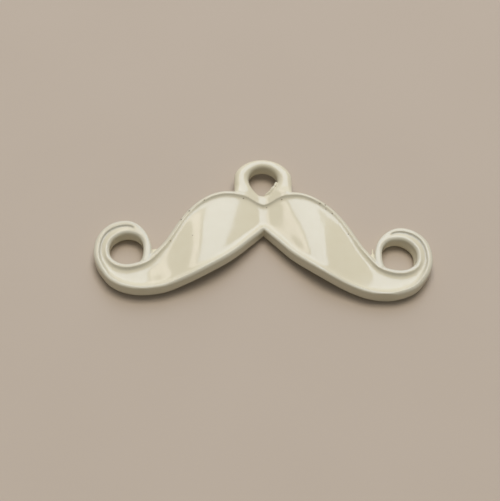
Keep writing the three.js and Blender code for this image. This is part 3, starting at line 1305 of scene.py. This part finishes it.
def mottle_group() -> bpy.types.NodeTree:
    """The uneven surface that every finish here shares: a broad and a fine noise.

    Returns:
        A shader node group with the outputs Broad and Fine.
    """
    tree = bpy.data.node_groups.new("surface_mottle", "ShaderNodeTree")
    add_sockets(tree, "INPUT", Vector="Vector", Broad_Scale="Float", Fine_Scale="Float")
    add_sockets(tree, "OUTPUT", Broad="Float", Fine="Float")
    given = tree.nodes.new("NodeGroupInput")
    made = tree.nodes.new("NodeGroupOutput")
    for name, detail in MOTTLE_DETAIL.items():
        noise = tree.nodes.new("ShaderNodeTexNoise")
        noise.inputs["Detail"].default_value = detail
        tree.links.new(given.outputs["Vector"], noise.inputs["Vector"])
        tree.links.new(given.outputs[f"{name} Scale"], noise.inputs["Scale"])
        tree.links.new(noise.outputs["Fac"], made.inputs[name])
    return tree


@dataclass(frozen=True)
class IvoryPaint:
    """Thick glossy ivory paint, with a cooler, greyer painted sheen on the rim's crest and
    painted shade, with a little dirt, in the groove.

    The grain breaks up the painted sheen and the groove's painted shade and dirt: each shows by
    its mask times the fine noise, which is scaled by its own grain and raised by the least share.
    """

    ivory: Triple = (0.74, 0.70, 0.53)
    pale: Triple = (0.77, 0.735, 0.575)
    # Cooler, greyer tint of the painted sheen on the rim's crest.
    crest_sheen: Triple = (0.68, 0.665, 0.55)
    # Darker tint of the groove: painted shade, with a little dirt.
    groove_shade_and_soil: Triple = (0.42, 0.41, 0.34)
    crest_sheen_grain: float = 0.9
    groove_shade_and_soil_grain: float = 0.8
    least_share: float = 0.5
    roughness: float = 0.1
    crest_roughness: float = 0.12
    peel_scale: float = 650.0
    grain_scale: float = 5200.0
    peel_height: float = 5.0e-6
    grain_height: float = 0.06

    def material(self, mottle: bpy.types.NodeTree) -> bpy.types.Material:
        """Builds the paint.

        Args:
            mottle: The shared uneven surface.

        Returns:
            The material.
        """
        sheet = ShaderSheet("ivory_paint")
        uneven = sheet.group(mottle, broad_scale=self.peel_scale, fine_scale=self.grain_scale)
        broad, fine = uneven.outputs["Broad"], uneven.outputs["Fine"]
        crest = sheet.mask("crest")
        body = sheet.tint(broad, self.ivory, self.pale)
        # Painted sheen on the crest, then painted shade with a little dirt in the groove, over the
        # ivory.
        for mask, grain, colour in (
            (crest, self.crest_sheen_grain, self.crest_sheen),
            (sheet.mask("groove"), self.groove_shade_and_soil_grain, self.groove_shade_and_soil),
        ):
            grained = sheet.math("MULTIPLY_ADD", fine, grain, self.least_share)
            body = sheet.tint(sheet.math("MULTIPLY", mask, grained), body, colour)
        sheet.join(body, sheet.shader.inputs["Base Color"])
        gloss = sheet.math("MULTIPLY_ADD", crest, self.crest_roughness, self.roughness)
        sheet.join(gloss, sheet.shader.inputs["Roughness"])
        sheet.bump(sheet.math("MULTIPLY_ADD", fine, self.grain_height, broad), self.peel_height)
        return sheet.material


@dataclass(frozen=True)
class MattFinish:
    """A matt finish of two tones that run into each other, with a fine grain."""

    name: str
    tone: Triple
    shade: Triple
    roughness: float
    tone_scale: float
    grain_scale: float
    grain_height: float

    def material(self, mottle: bpy.types.NodeTree) -> bpy.types.Material:
        """Builds the finish.

        Args:
            mottle: The shared uneven surface.

        Returns:
            The material.
        """
        sheet = ShaderSheet(self.name)
        uneven = sheet.group(mottle, broad_scale=self.tone_scale, fine_scale=self.grain_scale)
        body = sheet.tint(uneven.outputs["Broad"], self.tone, self.shade)
        sheet.join(body, sheet.shader.inputs["Base Color"])
        sheet.shader.inputs["Roughness"].default_value = self.roughness
        sheet.bump(uneven.outputs["Fine"], self.grain_height)
        return sheet.material


# Dark finish of the specks along the groove: painted shade of the pits in the paint.
PIT_SHADE = MattFinish(
    "pit_shade",
    tone=(0.22, 0.19, 0.13),
    shade=(0.42, 0.37, 0.27),
    roughness=0.7,
    tone_scale=6000.0,
    grain_scale=20000.0,
    grain_height=1.0e-5,
)

# A plain pale floor.
PALE_FLOOR = MattFinish(
    "pale_floor",
    tone=(0.56, 0.49, 0.41),
    shade=(0.54, 0.47, 0.39),
    roughness=0.75,
    tone_scale=60.0,
    grain_scale=2500.0,
    grain_height=4.0e-6,
)


@dataclass(frozen=True)
class SoftBox:
    """A flat soft light, placed by its direction from the charm, then moved aside in its plane."""

    name: str
    azimuth: float
    elevation: float
    distance: float
    width: float
    height: float
    radiance: float
    colour: Triple
    aside: float = 0.0
    shines: bool = True

    def build(self) -> bpy.types.Object:
        """Makes the light, facing the charm.

        Returns:
            The light's object.
        """
        lamp = bpy.data.lights.new(self.name, "AREA")
        lamp.shape = "RECTANGLE"
        lamp.size, lamp.size_y = self.width, self.height
        lamp.energy = self.radiance * math.pi * self.width * self.height
        lamp.color = self.colour
        made = bpy.data.objects.new(self.name, lamp)
        made.visible_glossy = self.shines
        bpy.context.scene.collection.objects.link(made)
        turn, rise = math.radians(self.azimuth), math.radians(self.elevation)
        flat = math.cos(rise)
        way = Vector((math.sin(turn) * flat, math.cos(turn) * flat, math.sin(rise)))
        right = Vector((math.cos(turn), -math.sin(turn), 0))
        made.location = way * self.distance + right * self.aside
        made.rotation_euler = way.to_track_quat("Z", "Y").to_euler()
        return made


# Name, azimuth, elevation, distance, width, height, radiance and colour of each.
SOFT_BOXES = (
    SoftBox("window", 8.75, 52, 1.5, 0.575, 0.975, 3.6, (0.67, 0.785, 1.0)),
    SoftBox("window_side", 8.75, 52, 1.5, 0.168, 0.975, 3.0, (1.0, 0.93, 0.92), aside=-0.427),
    SoftBox("window_sill", -0.75, 20, 1.5, 1.25, 0.75, 0.85, (0.9, 0.93, 1.0)),
    SoftBox("overhead", 6, 74, 1.3, 0.9, 0.5, 6.4, (1.0, 0.90, 0.78), shines=False),
)


@dataclass
class Studio:
    """The pale floor, the soft lights and the camera."""

    floor_half: float = 3.0
    sky: Triple = (0.2, 0.195, 0.185)
    camera_azimuth: float = -4.77
    camera_elevation: float = 55.0
    camera_roll: float = 5.15
    camera_distance: float = 0.13
    target: Span = (-0.00161, -0.00289)
    focal_pixels: float = 1087.0
    picture_height: float = 501.0
    sensor: float = 36.0
    clip_start: float = 0.001

    def floor(self, finish: bpy.types.Material) -> bpy.types.Object:
        """Lays the floor.

        Args:
            finish: The floor's finish.

        Returns:
            The floor's object.
        """
        half = self.floor_half
        corners = np.array([(-half, -half, 0), (half, -half, 0), (half, half, 0), (-half, half, 0)])
        made = make_object("pale_floor", corners, np.array([[0, 1, 2, 3]]))
        made.data.materials.append(finish)
        return made

    def light(self) -> None:
        """Sets the soft boxes and the even light of the room."""
        for box in SOFT_BOXES:
            box.build()
        world = bpy.data.worlds.new("studio")
        world.use_nodes = True
        world.node_tree.nodes["Background"].inputs["Color"].default_value = (*self.sky, 1.0)
        bpy.context.scene.world = world
        bpy.context.scene.view_settings.view_transform = "Standard"

    def camera(self) -> bpy.types.Object:
        """Sets the camera at the photograph's viewing angle.

        Returns:
            The camera's object.
        """
        data = bpy.data.cameras.new("camera")
        data.sensor_width = self.sensor
        data.lens = self.focal_pixels * self.sensor / self.picture_height
        data.clip_start = self.clip_start
        made = bpy.data.objects.new("camera", data)
        bpy.context.scene.collection.objects.link(made)
        turn, rise = math.radians(self.camera_azimuth), math.radians(self.camera_elevation)
        flat = math.cos(rise)
        back = Vector((math.sin(turn) * flat, -math.cos(turn) * flat, math.sin(rise)))
        level = Vector((0, 0, 1)).cross(back).normalized()
        roll = math.radians(self.camera_roll)
        right = level * math.cos(roll) + back.cross(level) * math.sin(roll)
        turned = Matrix((right, back.cross(right), back)).transposed().to_4x4()
        spot = Vector((*self.target, 0)) + back * self.camera_distance
        made.matrix_world = Matrix.Translation(spot) @ turned
        bpy.context.scene.camera = made
        return made


def main() -> None:
    """Builds the casting, its specks and the studio."""
    logging.basicConfig(level=logging.INFO)
    mottle = mottle_group()
    casting = MoustacheCasting()
    piece = casting.build()
    casting.dress(piece, IvoryPaint().material(mottle))
    LOG.info("%s: %d quads", piece.name, len(piece.data.polygons))
    specks = PaintSpecks().build(casting, PIT_SHADE.material(mottle))
    LOG.info("%s: %d faces", specks.name, len(specks.data.polygons))
    studio = Studio()
    studio.floor(PALE_FLOOR.material(mottle))
    studio.light()
    studio.camera()
    LOG.info("studio: floor, %d soft boxes and camera", len(SOFT_BOXES))


if __name__ == "__main__":
    main()
